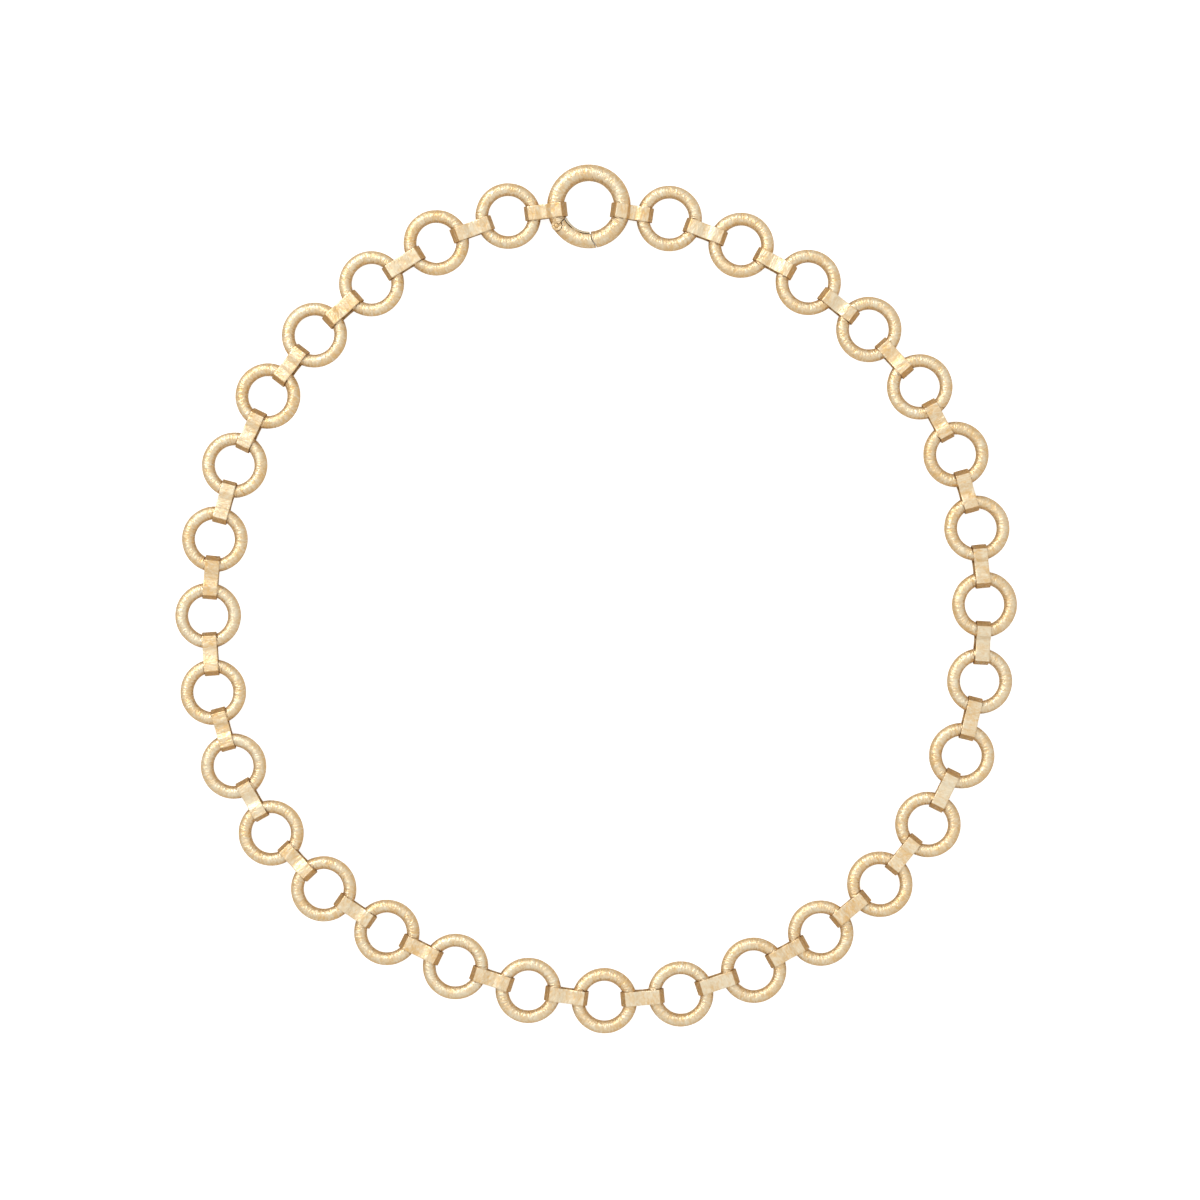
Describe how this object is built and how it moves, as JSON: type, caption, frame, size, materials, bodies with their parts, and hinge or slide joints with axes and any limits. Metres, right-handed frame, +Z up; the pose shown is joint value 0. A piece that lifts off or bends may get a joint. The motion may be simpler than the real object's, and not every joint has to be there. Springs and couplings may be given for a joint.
{
  "type": "chain necklace",
  "caption": "Necklace of round wire rings joined by folded band connectors, closed by a hinged round clasp ring.",
  "frame": {"origin": "middle of the footprint of the necklace laid flat, on the surface that it lies on", "axes": "+Z up from the surface, +Y from the front ring towards the clasp, +X to the right"},
  "size_m": [0.1536, 0.1586, 0.0048],
  "materials": {
    "engraved_gold": "satin, finely engraved across the wire",
    "polished_gold": "polished"
  },
  "bodies": {
    "front_ring": {"front_ring": "engraved_gold"},
    "right_connector_01": {"right_connector_01": "engraved_gold"},
    "right_ring_01": {"right_ring_01": "engraved_gold"},
    "right_connector_02": {"right_connector_02": "engraved_gold"},
    "right_ring_02": {"right_ring_02": "engraved_gold"},
    "right_connector_03": {"right_connector_03": "engraved_gold"},
    "right_ring_03": {"right_ring_03": "engraved_gold"},
    "right_connector_04": {"right_connector_04": "engraved_gold"},
    "right_ring_04": {"right_ring_04": "engraved_gold"},
    "right_connector_05": {"right_connector_05": "engraved_gold"},
    "right_ring_05": {"right_ring_05": "engraved_gold"},
    "right_connector_06": {"right_connector_06": "engraved_gold"},
    "right_ring_06": {"right_ring_06": "engraved_gold"},
    "right_connector_07": {"right_connector_07": "engraved_gold"},
    "right_ring_07": {"right_ring_07": "engraved_gold"},
    "right_connector_08": {"right_connector_08": "engraved_gold"},
    "right_ring_08": {"right_ring_08": "engraved_gold"},
    "right_connector_09": {"right_connector_09": "engraved_gold"},
    "right_ring_09": {"right_ring_09": "engraved_gold"},
    "right_connector_10": {"right_connector_10": "engraved_gold"},
    "right_ring_10": {"right_ring_10": "engraved_gold"},
    "right_connector_11": {"right_connector_11": "engraved_gold"},
    "right_ring_11": {"right_ring_11": "engraved_gold"},
    "right_connector_12": {"right_connector_12": "engraved_gold"},
    "right_ring_12": {"right_ring_12": "engraved_gold"},
    "right_link_pair_13": {"right_link_pair_13": "engraved_gold"},
    "right_link_pair_14": {"right_link_pair_14": "engraved_gold"},
    "right_link_pair_15": {"right_link_pair_15": "engraved_gold"},
    "right_connector_16": {"right_connector_16": "engraved_gold"},
    "left_connector_01": {"left_connector_01": "engraved_gold"},
    "left_ring_01": {"left_ring_01": "engraved_gold"},
    "left_connector_02": {"left_connector_02": "engraved_gold"},
    "left_ring_02": {"left_ring_02": "engraved_gold"},
    "left_connector_03": {"left_connector_03": "engraved_gold"},
    "left_ring_03": {"left_ring_03": "engraved_gold"},
    "left_connector_04": {"left_connector_04": "engraved_gold"},
    "left_ring_04": {"left_ring_04": "engraved_gold"},
    "left_connector_05": {"left_connector_05": "engraved_gold"},
    "left_ring_05": {"left_ring_05": "engraved_gold"},
    "left_connector_06": {"left_connector_06": "engraved_gold"},
    "left_ring_06": {"left_ring_06": "engraved_gold"},
    "left_connector_07": {"left_connector_07": "engraved_gold"},
    "left_ring_07": {"left_ring_07": "engraved_gold"},
    "left_connector_08": {"left_connector_08": "engraved_gold"},
    "left_ring_08": {"left_ring_08": "engraved_gold"},
    "left_connector_09": {"left_connector_09": "engraved_gold"},
    "left_ring_09": {"left_ring_09": "engraved_gold"},
    "left_connector_10": {"left_connector_10": "engraved_gold"},
    "left_ring_10": {"left_ring_10": "engraved_gold"},
    "left_connector_11": {"left_connector_11": "engraved_gold"},
    "left_ring_11": {"left_ring_11": "engraved_gold"},
    "left_connector_12": {"left_connector_12": "engraved_gold"},
    "left_ring_12": {"left_ring_12": "engraved_gold"},
    "left_link_pair_13": {"left_link_pair_13": "engraved_gold"},
    "left_link_pair_14": {"left_link_pair_14": "engraved_gold"},
    "left_end_links": {"left_end_links": "engraved_gold"},
    "clasp_ring": {"clasp_ring": "engraved_gold", "clasp_hinge_pin": "polished_gold"},
    "clasp_gate": {"clasp_gate": "engraved_gold", "clasp_tongue": "polished_gold"}
  },
  "joints": [
    {"name": "clasp_gate_hinge", "type": "hinge", "parent": "clasp_ring", "child": "clasp_gate", "pos_m": [-0.00715, 0.06817, 0.00227], "axis": [0.0242, 0.0593, -0.9979], "range_deg": [0, 70]},
    {"name": "clasp_ring_turn", "type": "hinge", "parent": "right_connector_16", "child": "clasp_ring", "pos_m": [-0.00133, 0.07166, 0.00262], "axis": [-0.0242, -0.0593, 0.9979], "range_deg": [0, 60]},
    {"name": "right_connector_01_slide", "type": "hinge", "parent": "front_ring", "child": "right_connector_01", "pos_m": [0.00149, -0.0733, 0.0018], "axis": [0.0021, 0, -1], "range_deg": [0, 60]},
    {"name": "right_ring_01_turn", "type": "hinge", "parent": "right_connector_01", "child": "right_ring_01", "pos_m": [0.01543, -0.07206, 0.00193], "axis": [0.0005, 0.0174, -0.9998], "range_deg": [0, 62]},
    {"name": "right_connector_02_fold", "type": "hinge", "parent": "right_ring_01", "child": "right_connector_02", "pos_m": [0.01988, -0.07062, 0.00196], "axis": [0.3074, -0.9514, -0.0164], "range_deg": [-62, 62]},
    {"name": "right_ring_02_turn", "type": "hinge", "parent": "right_connector_02", "child": "right_ring_02", "pos_m": [0.02875, -0.06775, 0.00183], "axis": [0.0087, -0.0092, 0.9999], "range_deg": [-62, 0]},
    {"name": "right_connector_03_fold", "type": "hinge", "parent": "right_ring_02", "child": "right_connector_03", "pos_m": [0.03284, -0.06547, 0.00181], "axis": [-0.4873, 0.8732, 0.0123], "range_deg": [-62, 62]},
    {"name": "right_ring_03_turn", "type": "hinge", "parent": "right_connector_03", "child": "right_ring_03", "pos_m": [0.04098, -0.06093, 0.00219], "axis": [0.0434, -0.01, -0.999], "range_deg": [0, 62]},
    {"name": "right_connector_04_fold", "type": "hinge", "parent": "right_ring_03", "child": "right_connector_04", "pos_m": [0.04458, -0.05795, 0.00232], "axis": [0.6373, -0.7698, 0.0354], "range_deg": [-62, 62]},
    {"name": "right_ring_04_turn", "type": "hinge", "parent": "right_connector_04", "child": "right_ring_04", "pos_m": [0.05177, -0.05201, 0.00213], "axis": [-0.0376, 0.0831, 0.9958], "range_deg": [-62, 0]},
    {"name": "right_connector_05_fold", "type": "hinge", "parent": "right_ring_04", "child": "right_connector_05", "pos_m": [0.05471, -0.04838, 0.00194], "axis": [-0.776, 0.6255, -0.0815], "range_deg": [-62, 62]},
    {"name": "right_ring_05_turn", "type": "hinge", "parent": "right_connector_05", "child": "right_ring_05", "pos_m": [0.06055, -0.04111, 0.00209], "axis": [0.0761, -0.0099, -0.997], "range_deg": [0, 62]},
    {"name": "right_connector_06_fold", "type": "hinge", "parent": "right_ring_05", "child": "right_connector_06", "pos_m": [0.06261, -0.03691, 0.0022], "axis": [0.8954, -0.4393, 0.0727], "range_deg": [-62, 62]},
    {"name": "right_ring_06_turn", "type": "hinge", "parent": "right_connector_06", "child": "right_ring_06", "pos_m": [0.06671, -0.02853, 0.00231], "axis": [-0.0013, 0.0267, 0.9996], "range_deg": [-62, 46.5]},
    {"name": "right_connector_07_fold", "type": "hinge", "parent": "right_ring_06", "child": "right_connector_07", "pos_m": [0.06781, -0.02399, 0.00219], "axis": [-0.9716, 0.2365, -0.0076], "range_deg": [-62, 62]},
    {"name": "right_ring_07_turn", "type": "hinge", "parent": "right_connector_07", "child": "right_ring_07", "pos_m": [0.07002, -0.01493, 0.0019], "axis": [-0.0455, 0.0103, -0.9989], "range_deg": [-62, 62]},
    {"name": "right_connector_08_fold", "type": "hinge", "parent": "right_ring_07", "child": "right_connector_08", "pos_m": [0.07029, -0.01026, 0.00194], "axis": [0.9973, -0.0577, -0.046], "range_deg": [-62, 62]},
    {"name": "right_ring_08_turn", "type": "hinge", "parent": "right_connector_08", "child": "right_ring_08", "pos_m": [0.07085, -0.00096, 0.00237], "axis": [0.0612, -0.0187, 0.998], "range_deg": [-62, 62]},
    {"name": "right_connector_09_fold", "type": "hinge", "parent": "right_ring_08", "child": "right_connector_09", "pos_m": [0.07041, 0.0037, 0.00248], "axis": [-0.9937, -0.0954, 0.0591], "range_deg": [-62, 62]},
    {"name": "right_ring_09_turn", "type": "hinge", "parent": "right_connector_09", "child": "right_ring_09", "pos_m": [0.06949, 0.01298, 0.00203], "axis": [-0.0233, -0.043, -0.9988], "range_deg": [-62, 62]},
    {"name": "right_connector_10_fold", "type": "hinge", "parent": "right_ring_09", "child": "right_connector_10", "pos_m": [0.06822, 0.01748, 0.00187], "axis": [0.9618, 0.2717, -0.0341], "range_deg": [-62, 62]},
    {"name": "right_ring_10_turn", "type": "hinge", "parent": "right_connector_10", "child": "right_ring_10", "pos_m": [0.06569, 0.02645, 0.00205], "axis": [0.0063, -0.0403, 0.9992], "range_deg": [-62, 62]},
    {"name": "right_connector_11_fold", "type": "hinge", "parent": "right_ring_10", "child": "right_connector_11", "pos_m": [0.06347, 0.03057, 0.00223], "axis": [-0.8803, -0.4743, -0.0136], "range_deg": [-62, 62]},
    {"name": "right_ring_11_turn", "type": "hinge", "parent": "right_connector_11", "child": "right_ring_11", "pos_m": [0.05904, 0.03877, 0.00228], "axis": [0.0341, -0.0103, -0.9994], "range_deg": [-62, 62]},
    {"name": "right_connector_12_fold", "type": "hinge", "parent": "right_ring_11", "child": "right_connector_12", "pos_m": [0.05595, 0.04228, 0.00214], "axis": [0.7494, 0.6618, 0.0187], "range_deg": [-62, 62]},
    {"name": "right_ring_12_turn", "type": "hinge", "parent": "right_connector_12", "child": "right_ring_12", "pos_m": [0.04978, 0.04927, 0.00186], "axis": [0.0053, -0.006, 1], "range_deg": [-62, 62]},
    {"name": "right_link_pair_13_fold", "type": "hinge", "parent": "right_ring_12", "child": "right_link_pair_13", "pos_m": [0.04608, 0.05213, 0.0019], "axis": [-0.6107, -0.7919, -0.0016], "range_deg": [-62, 62]},
    {"name": "right_link_pair_14_fold", "type": "hinge", "parent": "right_link_pair_13", "child": "right_link_pair_14", "pos_m": [0.03461, 0.0601, 0.00242], "axis": [0.4874, 0.8728, -0.0248], "range_deg": [-62, 62]},
    {"name": "right_link_pair_15_fold", "type": "hinge", "parent": "right_link_pair_14", "child": "right_link_pair_15", "pos_m": [0.02208, 0.06626, 0.00183], "axis": [-0.3476, -0.9373, 0.0259], "range_deg": [-52, 52]},
    {"name": "right_connector_16_fold", "type": "hinge", "parent": "right_link_pair_15", "child": "right_connector_16", "pos_m": [0.00872, 0.07019, 0.0023], "axis": [0.1459, 0.9891, 0.0195], "range_deg": [-52, 52]},
    {"name": "left_connector_01_slide", "type": "hinge", "parent": "front_ring", "child": "left_connector_01", "pos_m": [0.00149, -0.0733, 0.0018], "axis": [-0.0021, 0, 1], "range_deg": [0, 60]},
    {"name": "left_ring_01_turn", "type": "hinge", "parent": "left_connector_01", "child": "left_ring_01", "pos_m": [-0.01239, -0.07142, 0.00188], "axis": [0.0117, -0.0066, 0.9999], "range_deg": [0, 62]},
    {"name": "left_connector_02_slide", "type": "hinge", "parent": "left_ring_01", "child": "left_connector_02", "pos_m": [-0.01239, -0.07142, 0.00188], "axis": [-0.0117, 0.0066, -0.9999], "range_deg": [-60, 0]},
    {"name": "left_ring_02_turn", "type": "hinge", "parent": "left_connector_02", "child": "left_ring_02", "pos_m": [-0.02568, -0.06704, 0.00201], "axis": [0.0036, -0.0141, -0.9999], "range_deg": [-62, 0]},
    {"name": "left_connector_03_fold", "type": "hinge", "parent": "left_ring_02", "child": "left_connector_03", "pos_m": [-0.02988, -0.06497, 0.00197], "axis": [-0.4436, -0.8962, 0.0111], "range_deg": [-62, 62]},
    {"name": "left_ring_03_turn", "type": "hinge", "parent": "left_connector_03", "child": "left_ring_03", "pos_m": [-0.03823, -0.06083, 0.00187], "axis": [0.0195, 0.0112, 0.9997], "range_deg": [0, 62]},
    {"name": "left_connector_04_fold", "type": "hinge", "parent": "left_ring_03", "child": "left_connector_04", "pos_m": [-0.04207, -0.05816, 0.00192], "axis": [0.571, 0.8207, -0.0203], "range_deg": [-62, 62]},
    {"name": "left_ring_04_turn", "type": "hinge", "parent": "left_connector_04", "child": "left_ring_04", "pos_m": [-0.04972, -0.05283, 0.00232], "axis": [-0.0083, 0.0082, -0.9999], "range_deg": [-62, 0]},
    {"name": "left_connector_05_fold", "type": "hinge", "parent": "left_ring_04", "child": "left_connector_05", "pos_m": [-0.05294, -0.04943, 0.00237], "axis": [-0.7258, -0.6879, 0.0004], "range_deg": [-62, 62]},
    {"name": "left_ring_05_turn", "type": "hinge", "parent": "left_connector_05", "child": "left_ring_05", "pos_m": [-0.05935, -0.04267, 0.00195], "axis": [-0.0338, 0.0087, 0.9994], "range_deg": [0, 62]},
    {"name": "left_connector_06_fold", "type": "hinge", "parent": "left_ring_05", "child": "left_connector_06", "pos_m": [-0.06163, -0.03859, 0.00183], "axis": [0.8726, 0.4878, 0.0252], "range_deg": [-62, 62]},
    {"name": "left_ring_06_turn", "type": "hinge", "parent": "left_connector_06", "child": "left_ring_06", "pos_m": [-0.06618, -0.03045, 0.00214], "axis": [-0.0049, 0.0363, -0.9993], "range_deg": [-62, 46.5]},
    {"name": "left_connector_07_fold", "type": "hinge", "parent": "left_ring_06", "child": "left_connector_07", "pos_m": [-0.06742, -0.02594, 0.00231], "axis": [-0.9646, -0.2639, -0.0049], "range_deg": [-62, 62]},
    {"name": "left_ring_07_turn", "type": "hinge", "parent": "left_connector_07", "child": "left_ring_07", "pos_m": [-0.06988, -0.01695, 0.00222], "axis": [0.025, 0.0368, 0.999], "range_deg": [-62, 62]},
    {"name": "left_connector_08_fold", "type": "hinge", "parent": "left_ring_07", "child": "left_connector_08", "pos_m": [-0.07021, -0.01228, 0.00206], "axis": [0.9972, 0.0688, -0.0275], "range_deg": [-62, 62]},
    {"name": "left_ring_08_turn", "type": "hinge", "parent": "left_connector_08", "child": "left_ring_08", "pos_m": [-0.07085, -0.00298, 0.00196], "axis": [-0.0606, 0.022, -0.9979], "range_deg": [-62, 62]},
    {"name": "left_connector_09_fold", "type": "hinge", "parent": "left_ring_08", "child": "left_connector_09", "pos_m": [-0.07043, 0.00168, 0.00204], "axis": [-0.9941, 0.089, 0.0623], "range_deg": [-62, 62]},
    {"name": "left_ring_09_turn", "type": "hinge", "parent": "left_connector_09", "child": "left_ring_09", "pos_m": [-0.06958, 0.01096, 0.00239], "axis": [0.0461, -0.0061, 0.9989], "range_deg": [-62, 62]},
    {"name": "left_connector_10_fold", "type": "hinge", "parent": "left_ring_09", "child": "left_connector_10", "pos_m": [-0.06838, 0.01548, 0.00236], "axis": [0.9657, -0.2556, -0.0461], "range_deg": [-62, 62]},
    {"name": "left_ring_10_turn", "type": "hinge", "parent": "left_connector_10", "child": "left_ring_10", "pos_m": [-0.06601, 0.0245, 0.00191], "axis": [0.0031, -0.0213, -0.9998], "range_deg": [-62, 62]},
    {"name": "left_connector_11_fold", "type": "hinge", "parent": "left_ring_10", "child": "left_connector_11", "pos_m": [-0.06397, 0.02871, 0.00183], "axis": [-0.8998, 0.4361, -0.0121], "range_deg": [-62, 62]},
    {"name": "left_ring_11_turn", "type": "hinge", "parent": "left_connector_11", "child": "left_ring_11", "pos_m": [-0.05991, 0.0371, 0.00226], "axis": [-0.0794, 0.0037, 0.9968], "range_deg": [-62, 62]},
    {"name": "left_connector_12_fold", "type": "hinge", "parent": "left_ring_11", "child": "left_connector_12", "pos_m": [-0.05709, 0.04082, 0.00247], "axis": [0.793, -0.6057, 0.0654], "range_deg": [-62, 62]},
    {"name": "left_ring_12_turn", "type": "hinge", "parent": "left_connector_12", "child": "left_ring_12", "pos_m": [-0.05141, 0.04823, 0.00225], "axis": [0.0368, -0.0858, -0.9956], "range_deg": [-62, 62]},
    {"name": "left_link_pair_13_fold", "type": "hinge", "parent": "left_ring_12", "child": "left_link_pair_13", "pos_m": [-0.04794, 0.05136, 0.0021], "axis": [-0.6693, 0.7377, -0.0883], "range_deg": [-62, 62]},
    {"name": "left_link_pair_14_fold", "type": "hinge", "parent": "left_link_pair_13", "child": "left_link_pair_14", "pos_m": [-0.03707, 0.0601, 0.00209], "axis": [0.5299, -0.847, 0.0416], "range_deg": [-62, 62]},
    {"name": "left_end_links_fold", "type": "hinge", "parent": "left_link_pair_14", "child": "left_end_links", "pos_m": [-0.02479, 0.0667, 0.00233], "axis": [-0.3512, 0.936, 0.0235], "range_deg": [-52, 52]}
  ]
}
